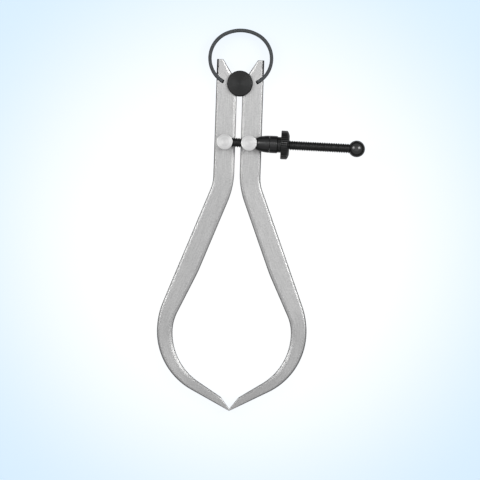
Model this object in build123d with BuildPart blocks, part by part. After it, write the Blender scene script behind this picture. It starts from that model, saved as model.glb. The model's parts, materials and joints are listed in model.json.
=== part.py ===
# Outside caliper of the 150 mm size: two bowed flat legs ride on a fulcrum spool, a bow spring
# spreads them, and a knurled nut on a screw sets them. Lengths are in millimetres, angles in degrees.
# It lies on its back with the legs closed: +X to the right, +Y to the bow, +Z up to its front.
# The origin is the centre of the fulcrum spool's flat back face.

from build123d import *
from math import atan2, cos, degrees, hypot, radians, sin, tan
import os

# Play between pieces
TURNING_PLAY = 0.05  # between a shaft and its hole, on the radius
RUBBING_PLAY = 0.05  # between flat faces that slide on each other
THREAD_PLAY = 0.02  # between a thread and the piece that is screwed on it, on the radius

# Fulcrum spool
SPOOL_CORE_RADIUS = 4.0
SPOOL_FLANGE_RADIUS = 6.1
SPOOL_FLANGE_THICKNESS = 1.5
SPOOL_EDGE = 0.3

# Legs, as drops below the fulcrum and angles off the centre line
LEG_THICKNESS = 4.0
LEG_WIDTH = 10.1
LEG_GAP = 2.6  # between the straight upper parts
LEG_EDGE = 0.4  # break of the front and back edges, under half the tip's height
TANG_HEIGHT = 11.3
TANG_TOP = 3.1  # width of the tang's flat top
TANG_ANGLE = 32.6
KNEE_DROP = 47.5
KNEE_RADIUS = 30.0
LIMB_ANGLE = 21.0
TAPER_DROP = 90.0
TAPER_ANGLE = 25.3
TAPER_RADIUS = 80.0
BELLY_HALF_WIDTH = 35.5
BELLY_WIDTH = 7.4
BELLY_STRAIGHT = 0.15  # left straight between the belly's upper and lower rounds
SHOULDER_OUTER_RADIUS = 36.4
SHOULDER_INNER_RADIUS = 20.5
ARM_OUTER_ANGLE = 62.6
ARM_INNER_ANGLE = 57.5
NIB_ANGLE = 37.0
NIB_HEIGHT = 5.5
NIB_HEEL_RADIUS = 1.5
TIP_DROP = 155.4
TIP_HEIGHT = 0.9  # of the flat that touches the work
TIP_GAP = 0.1  # between the two tips when closed

# Bow spring, a flat band bent to three arcs
BAND_THICKNESS = 1.6
BAND_WIDTH = 5.0
BOW_CENTRE_HEIGHT = 8.55
CROWN_RADIUS = 16.7
CROWN_HALF_ANGLE = 27.0
FLANK_RADIUS = 12.9
BAND_END_ANGLE = 60.4  # of the band's ends, below the flanks' centres
SLOT_PLAY = 0.1  # on each face of the band
SLOT_END_PLAY = 0.3

# Swivel studs, at one reach from the fulcrum
STUD_REACH = 28.7
LEFT_STUD_ANGLE = 12.7
RIGHT_STUD_ANGLE = 10.4
POST_RADIUS = 3.7
POST_HEIGHT = 8.0
POST_EDGE = 0.25
SHANK_RADIUS = 2.4
RIVET_HEAD_RADIUS = 3.1
RIVET_HEAD_HEIGHT = 0.65
RIVET_HEAD_EDGE = 0.3
WASHER_RADIUS = 3.6
WASHER_THICKNESS = 0.55
SPOT_FACE_DEPTH = 0.35
SPOT_FACE_PLAY = 0.3  # round the collar's nose

# Adjusting screw and its ball
SCREW_RADIUS = 2.25
SCREW_HEIGHT = 4.3  # of its axis above the front of the legs
SCREW_TAIL = 2.1  # past the left stud's axis
SCREW_END_EDGE = 0.3
BALL_DISTANCE = 62.6  # from the left stud's axis to the ball's centre
BALL_RADIUS = 3.95
HOLE_END_PLAY = 0.3

# Thrust collar: a steep cone at its nose, a slight one behind it, then the full radius
COLLAR_LENGTH = 6.3
COLLAR_RADIUS = 4.05
COLLAR_NOSE_RADIUS = 2.8
COLLAR_NOSE_LENGTH = 1.4
COLLAR_SHOULDER_RADIUS = 3.45
COLLAR_TAPER_LENGTH = 3.5

# Adjusting nut
BARREL_LENGTH = 3.9
BARREL_RADIUS = 4.1
BARREL_EDGE = 0.3
NECK_LENGTH = 1.5
NECK_RADIUS = 3.7
FLANGE_LENGTH = 2.9
FLANGE_RADIUS = 6.8
DOME_LENGTH = 1.1
DOME_RADIUS = 4.6
KNURL_COUNT = 42
KNURL_DEPTH = 0.3

# Heights above the spool's back face
leg_back = SPOOL_FLANGE_THICKNESS + RUBBING_PLAY
leg_front = leg_back + LEG_THICKNESS
leg_middle = (leg_back + leg_front) / 2
spool_height = leg_front + RUBBING_PLAY + SPOOL_FLANGE_THICKNESS
post_base = leg_front + RUBBING_PLAY
screw_height = leg_front + SCREW_HEIGHT
washer_base = leg_back - RUBBING_PLAY - WASHER_THICKNESS
rivet_base = washer_base - RUBBING_PLAY - RIVET_HEAD_HEIGHT

# Widths from the centre line
inner_x = LEG_GAP / 2
outer_x = inner_x + LEG_WIDTH
belly_inner_x = BELLY_HALF_WIDTH - BELLY_WIDTH
tip_x = TIP_GAP / 2

# Centres of the bow's flank arcs, so that they run on smoothly from the crown
flank_x = (CROWN_RADIUS - FLANK_RADIUS) * sin(radians(CROWN_HALF_ANGLE))
flank_y = BOW_CENTRE_HEIGHT + (CROWN_RADIUS - FLANK_RADIUS) * cos(radians(CROWN_HALF_ANGLE))

# Stud axes, and the screw's axis through both
left_stud_x = -STUD_REACH * sin(radians(LEFT_STUD_ANGLE))
left_stud_y = -STUD_REACH * cos(radians(LEFT_STUD_ANGLE))
right_stud_x = STUD_REACH * sin(radians(RIGHT_STUD_ANGLE))
right_stud_y = -STUD_REACH * cos(radians(RIGHT_STUD_ANGLE))
stud_spacing = hypot(right_stud_x - left_stud_x, right_stud_y - left_stud_y)
screw_turn = degrees(atan2(right_stud_y - left_stud_y, right_stud_x - left_stud_x))
screw_plane = Plane(origin=(left_stud_x, left_stud_y, screw_height)).rotated((0, 0, screw_turn))
screw_axis = Axis(screw_plane.origin, screw_plane.x_dir)

# Distances along the screw from the left stud's axis
collar_start = stud_spacing + POST_RADIUS - SPOT_FACE_DEPTH + RUBBING_PLAY
nut_start = collar_start + COLLAR_LENGTH + RUBBING_PLAY
flange_start = nut_start + BARREL_LENGTH + NECK_LENGTH
bore_radius = SCREW_RADIUS + TURNING_PLAY
fixed_bore_radius = SCREW_RADIUS + THREAD_PLAY


def across_screw(distance):
    """Plane square to the screw at a distance from the left stud's axis, facing the ball."""
    return Plane(
        origin=screw_plane.from_local_coords((distance, 0, 0)),
        x_dir=screw_plane.y_dir,
        z_dir=screw_plane.x_dir,
    )


def fillet_reach(radius, turn):
    """Length that a round of this radius takes from each side of a corner of this turn."""
    return radius * tan(radians(turn) / 2)


def leg_corners():
    """Corners of the right leg's outline with the radius at each, down its outside and up its inside."""
    shoulder_y = -KNEE_DROP - (BELLY_HALF_WIDTH - outer_x) / tan(radians(LIMB_ANGLE))
    heel_y = (BELLY_HALF_WIDTH - tip_x) / tan(radians(ARM_OUTER_ANGLE)) - TIP_DROP
    nib_y = TIP_HEIGHT - TIP_DROP
    nib_heel_x = tip_x + NIB_HEIGHT * tan(radians(NIB_ANGLE))
    inner_heel_y = nib_y + NIB_HEIGHT + (belly_inner_x - nib_heel_x) / tan(radians(ARM_INNER_ANGLE))
    inner_knee_y = -KNEE_DROP - fillet_reach(LEG_WIDTH, LIMB_ANGLE)
    taper_x = inner_x + (inner_knee_y + TAPER_DROP) * tan(radians(LIMB_ANGLE))
    inner_shoulder_y = -TAPER_DROP - (belly_inner_x - taper_x) / tan(radians(TAPER_ANGLE))
    tang_x = outer_x - TANG_TOP
    tang_root_y = TANG_HEIGHT - (tang_x - inner_x) / tan(radians(TANG_ANGLE))

    # The belly's lower rounds take what the upper ones leave of its straight sides, if the arm is as long
    outer_side = shoulder_y - heel_y - fillet_reach(SHOULDER_OUTER_RADIUS, LIMB_ANGLE)
    inner_side = inner_shoulder_y - inner_heel_y - fillet_reach(SHOULDER_INNER_RADIUS, TAPER_ANGLE)
    outer_arm = (BELLY_HALF_WIDTH - tip_x) / sin(radians(ARM_OUTER_ANGLE))
    inner_arm = (belly_inner_x - nib_heel_x) / sin(radians(ARM_INNER_ANGLE))
    inner_arm -= fillet_reach(NIB_HEEL_RADIUS, ARM_INNER_ANGLE - NIB_ANGLE)
    outer_room = min(outer_side, outer_arm) - BELLY_STRAIGHT
    inner_room = min(inner_side, inner_arm) - BELLY_STRAIGHT
    return [
        (outer_x, TANG_HEIGHT, 0),
        (outer_x, -KNEE_DROP, KNEE_RADIUS),
        (BELLY_HALF_WIDTH, shoulder_y, SHOULDER_OUTER_RADIUS),
        (BELLY_HALF_WIDTH, heel_y, outer_room / fillet_reach(1, ARM_OUTER_ANGLE)),
        (tip_x, -TIP_DROP, 0),
        (tip_x, nib_y, 0),
        (nib_heel_x, nib_y + NIB_HEIGHT, NIB_HEEL_RADIUS),
        (belly_inner_x, inner_heel_y, inner_room / fillet_reach(1, ARM_INNER_ANGLE)),
        (belly_inner_x, inner_shoulder_y, SHOULDER_INNER_RADIUS),
        (taper_x, -TAPER_DROP, TAPER_RADIUS),
        (inner_x, inner_knee_y, KNEE_RADIUS + LEG_WIDTH),
        (inner_x, tang_root_y, 0),
        (tang_x, TANG_HEIGHT, 0),
    ]


def make_leg(side, stud_x, stud_y):
    """The right leg for side 1 and the left leg for side -1, with its stud hole at a given place."""
    with BuildPart() as leg:
        with BuildSketch(Plane.XY.offset(leg_back)):
            with BuildLine():
                corners = leg_corners()
                points = [(side * x, y) for x, y, radius in corners]
                FilletPolyline(*points, radius=[radius for x, y, radius in corners], close=True)
            make_face()
        extrude(amount=LEG_THICKNESS)

        chamfer(leg.faces().filter_by(Axis.Z).edges(), LEG_EDGE)

        # Seat on the spool's core
        with BuildSketch(Plane.XY.offset(leg_back)):
            Circle(SPOOL_CORE_RADIUS + TURNING_PLAY)
        extrude(amount=LEG_THICKNESS, mode=Mode.SUBTRACT)

        # Slot for the band's end, along the band's own arc and out through the leg's edge
        with BuildSketch(Plane.XY.offset(leg_back)):
            with BuildLine():
                slot_end = BAND_END_ANGLE + degrees(SLOT_END_PLAY / FLANK_RADIUS)
                start = -slot_end if side > 0 else 180
                CenterArc((side * flank_x, flank_y), FLANK_RADIUS, start, slot_end)
            trace(line_width=BAND_THICKNESS + 2 * SLOT_PLAY)
        extrude(amount=LEG_THICKNESS, mode=Mode.SUBTRACT)

        # Hole for the stud's shank
        with BuildSketch(Plane.XY.offset(leg_back)):
            with Locations((stud_x, stud_y)):
                Circle(SHANK_RADIUS + TURNING_PLAY)
        extrude(amount=LEG_THICKNESS, mode=Mode.SUBTRACT)
    return leg


def make_stud(stud_x, stud_y, hole_radius, hole_start, hole_end, spot_face):
    """A swivel stud: post, shank and riveted head, cross-drilled between two distances on the screw."""
    with BuildPart() as stud:
        with BuildSketch(Plane.XY.offset(post_base)):
            with Locations((stud_x, stud_y)):
                Circle(POST_RADIUS)
        extrude(amount=POST_HEIGHT)
        chamfer(stud.faces().sort_by(Axis.Z)[-1].edges(), POST_EDGE)
        with BuildSketch(Plane.XY.offset(rivet_base)):
            with Locations((stud_x, stud_y)):
                Circle(SHANK_RADIUS)
        extrude(amount=post_base - rivet_base)
        with BuildSketch(Plane.XY.offset(rivet_base)):
            with Locations((stud_x, stud_y)):
                Circle(RIVET_HEAD_RADIUS)
        extrude(amount=RIVET_HEAD_HEIGHT)
        chamfer(stud.faces().sort_by(Axis.Z)[0].edges(), RIVET_HEAD_EDGE)

        # Cross hole for the screw
        with BuildSketch(across_screw(hole_start)):
            Circle(hole_radius)
        extrude(amount=hole_end - hole_start, mode=Mode.SUBTRACT)

        # Flat that the collar's nose bears on
        if spot_face:
            with BuildSketch(across_screw(hole_end - SPOT_FACE_DEPTH)):
                Circle(COLLAR_NOSE_RADIUS + SPOT_FACE_PLAY)
            extrude(amount=SPOT_FACE_DEPTH, mode=Mode.SUBTRACT)
    return stud


def make_stud_washer(stud_x, stud_y):
    """The washer between a stud's riveted head and the back of its leg."""
    with BuildPart() as washer:
        with BuildSketch(Plane.XY.offset(washer_base)):
            with Locations((stud_x, stud_y)):
                Circle(WASHER_RADIUS)
                Circle(SHANK_RADIUS + TURNING_PLAY, mode=Mode.SUBTRACT)
        extrude(amount=WASHER_THICKNESS)
    return washer


# Fulcrum spool, one turned piece
with BuildPart() as fulcrum_spool:
    with BuildSketch(Plane.XY):
        Circle(SPOOL_CORE_RADIUS)
    extrude(amount=spool_height)
    with BuildSketch(Plane.XY, Plane.XY.offset(spool_height - SPOOL_FLANGE_THICKNESS)):
        Circle(SPOOL_FLANGE_RADIUS)
    extrude(amount=SPOOL_FLANGE_THICKNESS)
    rims = fulcrum_spool.edges().filter_by(GeomType.CIRCLE).sort_by(SortBy.RADIUS)[-4:]
    chamfer([rims.sort_by(Axis.Z)[0], rims.sort_by(Axis.Z)[-1]], SPOOL_EDGE)

# Legs
right_leg = make_leg(1, right_stud_x, right_stud_y)
left_leg = make_leg(-1, left_stud_x, left_stud_y)

# Bow spring, from one slot round the crown to the other
with BuildPart() as bow_spring:
    with BuildSketch(Plane.XY.offset(leg_middle - BAND_WIDTH / 2)):
        with BuildLine():
            flank_sweep = 90 - CROWN_HALF_ANGLE + BAND_END_ANGLE
            CenterArc((flank_x, flank_y), FLANK_RADIUS, -BAND_END_ANGLE, flank_sweep)
            CenterArc((0, BOW_CENTRE_HEIGHT), CROWN_RADIUS, 90 - CROWN_HALF_ANGLE, 2 * CROWN_HALF_ANGLE)
            CenterArc((-flank_x, flank_y), FLANK_RADIUS, 90 + CROWN_HALF_ANGLE, flank_sweep)
        trace(line_width=BAND_THICKNESS)
    extrude(amount=BAND_WIDTH)

# Left stud, which holds the screw's end, and right stud, which the screw slides through
left_hole_start = -SCREW_TAIL - HOLE_END_PLAY
left_stud = make_stud(
    left_stud_x, left_stud_y, fixed_bore_radius, left_hole_start, POST_RADIUS, spot_face=False
)
right_hole_start = stud_spacing - POST_RADIUS
right_hole_end = stud_spacing + POST_RADIUS
right_stud = make_stud(
    right_stud_x, right_stud_y, bore_radius, right_hole_start, right_hole_end, spot_face=True
)

# Washers behind the legs
left_stud_washer = make_stud_washer(left_stud_x, left_stud_y)
right_stud_washer = make_stud_washer(right_stud_x, right_stud_y)

# Adjusting screw
with BuildPart() as adjusting_screw:
    with BuildSketch(across_screw(-SCREW_TAIL)):
        Circle(SCREW_RADIUS)
    extrude(amount=SCREW_TAIL + BALL_DISTANCE)
    chamfer(adjusting_screw.edges().filter_by(GeomType.CIRCLE), SCREW_END_EDGE)

# Ball that keeps the nut on the screw
with BuildPart() as stop_ball:
    with BuildSketch(screw_plane):
        with BuildLine():
            CenterArc((BALL_DISTANCE, 0), BALL_RADIUS, 0, 180)
            Line((BALL_DISTANCE - BALL_RADIUS, 0), (BALL_DISTANCE + BALL_RADIUS, 0))
        make_face()
    revolve(axis=screw_axis)
    with BuildSketch(across_screw(BALL_DISTANCE - BALL_RADIUS)):
        Circle(fixed_bore_radius)
    extrude(amount=BALL_RADIUS + HOLE_END_PLAY, mode=Mode.SUBTRACT)

# Thrust collar, between the right stud and the nut
with BuildPart() as thrust_collar:
    with BuildSketch(screw_plane):
        with BuildLine():
            taper_start = collar_start + COLLAR_NOSE_LENGTH
            collar_end = collar_start + COLLAR_LENGTH
            Polyline(
                (collar_start, bore_radius),
                (collar_start, COLLAR_NOSE_RADIUS),
                (taper_start, COLLAR_SHOULDER_RADIUS),
                (taper_start + COLLAR_TAPER_LENGTH, COLLAR_RADIUS),
                (collar_end, COLLAR_RADIUS),
                (collar_end, bore_radius),
                close=True,
            )
        make_face()
    revolve(axis=screw_axis)

# Adjusting nut: barrel, neck and knurled flange
with BuildPart() as adjusting_nut:
    with BuildSketch(screw_plane):
        with BuildLine():
            barrel_end = nut_start + BARREL_LENGTH
            rim_end = flange_start + FLANGE_LENGTH
            nut_end = rim_end + DOME_LENGTH
            Polyline(
                (nut_start, bore_radius),
                (nut_start, BARREL_RADIUS - BARREL_EDGE),
                (nut_start + BARREL_EDGE, BARREL_RADIUS),
                (barrel_end - BARREL_EDGE, BARREL_RADIUS),
                (barrel_end, NECK_RADIUS),
                (flange_start, NECK_RADIUS),
                (flange_start, FLANGE_RADIUS),
                (rim_end, FLANGE_RADIUS),
                (nut_end, DOME_RADIUS),
                (nut_end, bore_radius),
                close=True,
            )
        make_face()
    revolve(axis=screw_axis)
    with BuildSketch(across_screw(flange_start)):
        with PolarLocations(FLANGE_RADIUS, KNURL_COUNT):
            Polygon((-KNURL_DEPTH, 0), (KNURL_DEPTH, -KNURL_DEPTH), (KNURL_DEPTH, KNURL_DEPTH), align=None)
    extrude(amount=FLANGE_LENGTH + DOME_LENGTH, mode=Mode.SUBTRACT)

pieces = {
    "fulcrum_spool": fulcrum_spool,
    "left_leg": left_leg,
    "right_leg": right_leg,
    "bow_spring": bow_spring,
    "left_stud": left_stud,
    "right_stud": right_stud,
    "left_stud_washer": left_stud_washer,
    "right_stud_washer": right_stud_washer,
    "adjusting_screw": adjusting_screw,
    "stop_ball": stop_ball,
    "thrust_collar": thrust_collar,
    "adjusting_nut": adjusting_nut,
}
os.makedirs("parts", exist_ok=True)
for name, piece in pieces.items():
    piece.part.label = name
    export_step(piece.part, f"parts/{name}.step")
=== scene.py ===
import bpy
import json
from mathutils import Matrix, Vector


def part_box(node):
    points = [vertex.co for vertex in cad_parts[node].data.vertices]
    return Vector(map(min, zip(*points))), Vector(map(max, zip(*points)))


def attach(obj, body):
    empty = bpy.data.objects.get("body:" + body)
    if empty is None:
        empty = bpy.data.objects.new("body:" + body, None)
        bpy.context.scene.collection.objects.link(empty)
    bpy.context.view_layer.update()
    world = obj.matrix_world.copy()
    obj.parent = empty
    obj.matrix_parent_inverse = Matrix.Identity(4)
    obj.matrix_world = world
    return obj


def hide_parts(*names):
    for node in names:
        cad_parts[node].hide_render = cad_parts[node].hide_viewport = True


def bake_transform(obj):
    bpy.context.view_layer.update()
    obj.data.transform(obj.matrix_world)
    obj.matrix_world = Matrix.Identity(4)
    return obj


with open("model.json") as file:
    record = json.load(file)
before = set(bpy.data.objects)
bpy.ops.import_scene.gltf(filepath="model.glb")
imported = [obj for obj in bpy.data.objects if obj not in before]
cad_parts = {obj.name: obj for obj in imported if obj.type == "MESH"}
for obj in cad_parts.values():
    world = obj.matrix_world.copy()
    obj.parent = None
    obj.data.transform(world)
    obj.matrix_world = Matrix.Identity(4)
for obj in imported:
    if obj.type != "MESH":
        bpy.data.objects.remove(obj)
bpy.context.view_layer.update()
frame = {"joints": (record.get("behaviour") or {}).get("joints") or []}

import json
import logging
import math
from dataclasses import dataclass
from enum import Enum

import bmesh
import bpy
import numpy as np
from mathutils import Vector

MM = 0.001  # one millimetre in the scene's metres
SHARP_ANGLE = math.radians(32)  # faces that meet at more than this show an edge
MERGE_DISTANCE = 1e-7  # points nearer than this, in metres, are one point
ROUND_POINTS = 96  # points round a turned piece or a hole
GRAIN = "grain"  # UV map of the tool marks, in millimetres: across or around the piece, and along its section
ToneAndHeight = tuple[bpy.types.NodeSocket, bpy.types.NodeSocket]  # from 0 to 1, and in millimetres
log = logging.getLogger("caliper")


class Ends(Enum):
    """How a run of rings ends."""

    CAPPED = "capped"
    LOOPED = "looped"


class Side(Enum):
    """Side of the centre line, as the sign of X."""

    RIGHT = 1
    LEFT = -1


def linear(hex_colour: str) -> tuple[float, float, float, float]:
    """Turn an sRGB colour into the linear one that the shaders take.

    Args:
        hex_colour: Six hexadecimal digits, such as "BCBCBC".

    Returns:
        Red, green and blue from 0 to 1, and an alpha of 1.
    """
    shares = np.array([int(hex_colour[i : i + 2], 16) for i in (0, 2, 4)]) / 255
    low, high = shares / 12.92, ((shares + 0.055) / 1.055) ** 2.4
    return (*np.where(shares <= 0.04045, low, high).tolist(), 1.0)


def add_node(
    tree: bpy.types.NodeTree, kind: str, inputs: dict | None = None, output: int | str = 0, **settings
) -> bpy.types.NodeSocket | None:
    """Add a node with its settings and links.

    Args:
        tree: The node tree of a material or of the room.
        kind: The node's type name.
        inputs: Value or source socket for each input, by its name or number.
        output: Name or number of the output that is wanted.
        **settings: The node's own properties.

    Returns:
        That output, or None on a node that has none.
    """
    node = tree.nodes.new(kind)
    for name, value in settings.items():
        setattr(node, name, value)
    for name, value in (inputs or {}).items():
        if isinstance(value, bpy.types.NodeSocket):
            tree.links.new(value, node.inputs[name])
        else:
            node.inputs[name].default_value = value
    return node.outputs[output] if len(node.outputs) else None


def empty_tree(owner: bpy.types.Material | bpy.types.World) -> bpy.types.NodeTree:
    """Turn on the nodes of a material or of the room, and clear them.

    Args:
        owner: The material or the room's world.

    Returns:
        Its node tree, empty.
    """
    owner.use_nodes = True
    owner.node_tree.nodes.clear()
    return owner.node_tree


def link_object(name: str, data: bpy.types.ID) -> bpy.types.Object:
    """Put a new object into the scene.

    Args:
        name: The object's name.
        data: Its mesh, lamp or camera.

    Returns:
        The object.
    """
    made = bpy.data.objects.new(name, data)
    bpy.context.scene.collection.objects.link(made)
    return made


def slope(angle: float) -> float:
    """Rise over run of a line at this angle in degrees."""
    return math.tan(math.radians(angle))


def fillet_reach(radius: float, turn: float) -> float:
    """Length that a round of this radius takes from each side of a corner of this turn in degrees."""
    return radius * slope(turn / 2)


@dataclass(frozen=True)
class RoundedPath:
    """Straight sides joined by arcs that touch them, in a plane."""

    corners: tuple[tuple[float, float, float], ...]  # two coordinates and the radius at each corner

    def spans(self) -> tuple[np.ndarray, ...]:
        """Split the path into sides and arcs, in turn.

        A corner of turn t and radius R takes R tan(t/2) from both of its sides, and its arc is R t long.

        Returns:
            Start points, start headings, curvatures and lengths of the spans.
        """
        points = np.array(self.corners)[:, :2]
        radii = np.array(self.corners)[1:-1, 2]
        sides = np.diff(points, axis=0)
        headings = np.unwrap(np.arctan2(sides[:, 1], sides[:, 0]))
        turns = np.diff(headings)
        reach = np.concatenate([[0], radii * np.tan(np.abs(turns) / 2), [0]])
        along = np.stack([np.cos(headings), np.sin(headings)], axis=1)
        count = 2 * len(sides) - 1
        starts, bearing = np.zeros((count, 2)), np.zeros(count)
        curvature, lengths = np.zeros(count), np.zeros(count)
        starts[0::2] = points[:-1] + along * reach[:-1, None]
        starts[1::2] = points[1:-1] - along[:-1] * reach[1:-1, None]
        bearing[0::2], bearing[1::2] = headings, headings[:-1]
        curvature[1::2] = np.sign(turns) / np.maximum(radii, 1e-9)
        lengths[0::2] = np.hypot(sides[:, 0], sides[:, 1]) - reach[:-1] - reach[1:]
        lengths[1::2] = radii * np.abs(turns)
        return starts, bearing, curvature, lengths

    def length(self) -> float:
        """Length of the whole path."""
        return float(self.spans()[3].sum())

    def points(self, distances: np.ndarray) -> np.ndarray:
        """Points at distances along the path.

        In a span, the chord to a point t along it has the length t sin(h)/h and turns by h, where h is half
        of the curvature times t.

        Args:
            distances: Distances from the path's start.

        Returns:
            One point for each distance.
        """
        starts, bearing, curvature, lengths = self.spans()
        ends = np.cumsum(lengths)
        span = np.clip(np.searchsorted(ends, distances, side="left"), 0, len(ends) - 1)
        t = distances - (ends - lengths)[span]
        half = curvature[span] * t / 2
        chord = t * np.sinc(half / np.pi)
        turned = bearing[span] + half
        return starts[span] + chord[:, None] * np.stack([np.cos(turned), np.sin(turned)], axis=1)

    def stations(self, arc_step: float = 12.0, side_step: float = 1e9) -> np.ndarray:
        """Distances that catch each side's ends and divide each arc evenly.

        Args:
            arc_step: Largest turn between two stations, in degrees.
            side_step: Largest distance between two stations on a side.

        Returns:
            The distances, from 0 to the path's length, without repeats.
        """
        _, _, curvature, lengths = self.spans()
        turns = np.degrees(np.abs(curvature) * lengths)
        counts = np.ceil(np.maximum(turns / arc_step, lengths / side_step)).astype(int)
        ends = np.cumsum(lengths)
        runs = [
            np.linspace(end - size, end, max(count, 1) + 1)
            for end, size, count in zip(ends, lengths, counts)
            if size > 1e-6
        ]
        merged = np.concatenate(runs)
        return merged[np.concatenate([[True], np.diff(merged) > 1e-7])]


def finish_mesh(piece: bpy.types.Object) -> None:
    """Merge doubles, point the faces outwards and keep only real edges sharp.

    Args:
        piece: The mesh object.
    """
    work = bmesh.new()
    work.from_mesh(piece.data)
    bmesh.ops.remove_doubles(work, verts=work.verts, dist=MERGE_DISTANCE)
    bmesh.ops.recalc_face_normals(work, faces=work.faces)
    work.to_mesh(piece.data)
    work.free()
    piece.data.shade_smooth()
    piece.data.set_sharp_from_angle(angle=SHARP_ANGLE)


def mesh_from_grid(
    name: str,
    points: np.ndarray,
    index: np.ndarray,
    grain: np.ndarray,
    caps: tuple[np.ndarray, ...] = (),
    marked: np.ndarray | None = None,
) -> bpy.types.Object:
    """Make a piece from a grid of points, with a face between each four neighbours.

    Args:
        name: Name of the piece.
        points: Points in millimetres, one to a row.
        index: Number of the point at each place of the grid, by rows and columns.
        grain: Place of each grid point in the grain, by rows, columns and 2.
        caps: Point numbers round each flat end.
        marked: Whether each face takes the piece's second finish, by rows and columns.

    Returns:
        The object, at the origin.
    """
    quads = np.stack([index[:-1, :-1], index[1:, :-1], index[1:, 1:], index[:-1, 1:]], axis=-1).reshape(-1, 4)
    mesh = bpy.data.meshes.new(name)
    mesh.from_pydata((points * MM).tolist(), [], quads.tolist() + [cap.tolist() for cap in caps])
    corners = np.stack([grain[:-1, :-1], grain[1:, :-1], grain[1:, 1:], grain[:-1, 1:]], axis=2)
    flat = np.zeros((len(mesh.loops), 2))
    flat[: quads.size] = corners.reshape(-1, 2)
    mesh.uv_layers.new(name=GRAIN).data.foreach_set("uv", flat.ravel())
    if marked is not None:
        finishes = np.zeros(len(mesh.polygons), dtype=np.int32)
        finishes[: marked.size] = marked.ravel()
        mesh.polygons.foreach_set("material_index", finishes)
    piece = link_object(name, mesh)
    finish_mesh(piece)
    return piece


def mesh_from_rings(
    name: str,
    rings: np.ndarray,
    ends: Ends,
    grain: np.ndarray | None = None,
    marked: np.ndarray | None = None,
) -> bpy.types.Object:
    """Make a closed solid from rings of points.

    Args:
        name: Name of the piece.
        rings: Points in millimetres, as rings by points by 3.
        ends: Whether the first and last rings are capped or joined to each other.
        grain: Place of each point in the grain, with one more column, and one more row on looped rings.
        marked: Whether each face takes the piece's second finish.

    Returns:
        The object, at the origin.
    """
    count, around = rings.shape[:2]
    index = np.arange(count * around).reshape(count, around)
    index = np.hstack([index, index[:, :1]])
    caps = (index[0, :-1], index[-1, -2::-1]) if ends is Ends.CAPPED else ()
    if ends is Ends.LOOPED:
        index = np.vstack([index, index[:1]])
    grain = np.zeros((*index.shape, 2)) if grain is None else grain
    return mesh_from_grid(name, rings.reshape(-1, 3), index, grain, caps, marked)


def cut_away(piece: bpy.types.Object, cutters: list[bpy.types.Object]) -> None:
    """Cut solids out of a piece and remove the cutters.

    Args:
        piece: The piece that is cut.
        cutters: Closed solids, which are used up.
    """
    for cutter in cutters:
        modifier = piece.modifiers.new("cut", "BOOLEAN")
        modifier.operation, modifier.solver, modifier.object = "DIFFERENCE", "EXACT", cutter
    graph = bpy.context.evaluated_depsgraph_get()
    cut = bpy.data.meshes.new_from_object(piece.evaluated_get(graph))
    piece.modifiers.clear()
    piece.data = cut
    for cutter in cutters:
        bpy.data.objects.remove(cutter)
    finish_mesh(piece)


def turn_angles(count: int) -> np.ndarray:
    """Evenly spaced angles round a full turn, in radians."""
    return np.linspace(0, 2 * np.pi, count, endpoint=False)


def ring_grain(angles: np.ndarray, distances: np.ndarray, radius: float) -> np.ndarray:
    """Grain of a turned piece: the angle times a radius, by the distance along its section.

    Args:
        angles: Angles of the points of a ring, in radians.
        distances: Distance of each ring along the section.
        radius: Radius that the angles are laid out at.

    Returns:
        The places, as rings by points plus one by 2.
    """
    around = np.append(angles, angles[0] + 2 * np.pi) * radius
    return np.stack(np.meshgrid(around, distances), axis=2)


def section_grain(x: np.ndarray, z: np.ndarray, distances: np.ndarray) -> np.ndarray:
    """Grain of a piece whose section is carried along a line: round the section, by the distance along it.

    Args:
        x: One coordinate of the section's points, as sections by points.
        z: The other coordinate.
        distances: Distance of each section along the line.

    Returns:
        The places, as sections by points plus one by 2.
    """
    steps = np.hypot(np.diff(x, axis=1, append=x[:, :1]), np.diff(z, axis=1, append=z[:, :1]))
    around = np.cumsum(np.pad(steps, ((0, 0), (1, 0))), axis=1)
    return np.stack([around, np.broadcast_to(distances[:, None], around.shape)], axis=2)


def heights(node: str) -> tuple[float, float]:
    """Back and front of a node of the solid model, in millimetres."""
    low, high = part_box(node)
    return low.z / MM, high.z / MM


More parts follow.
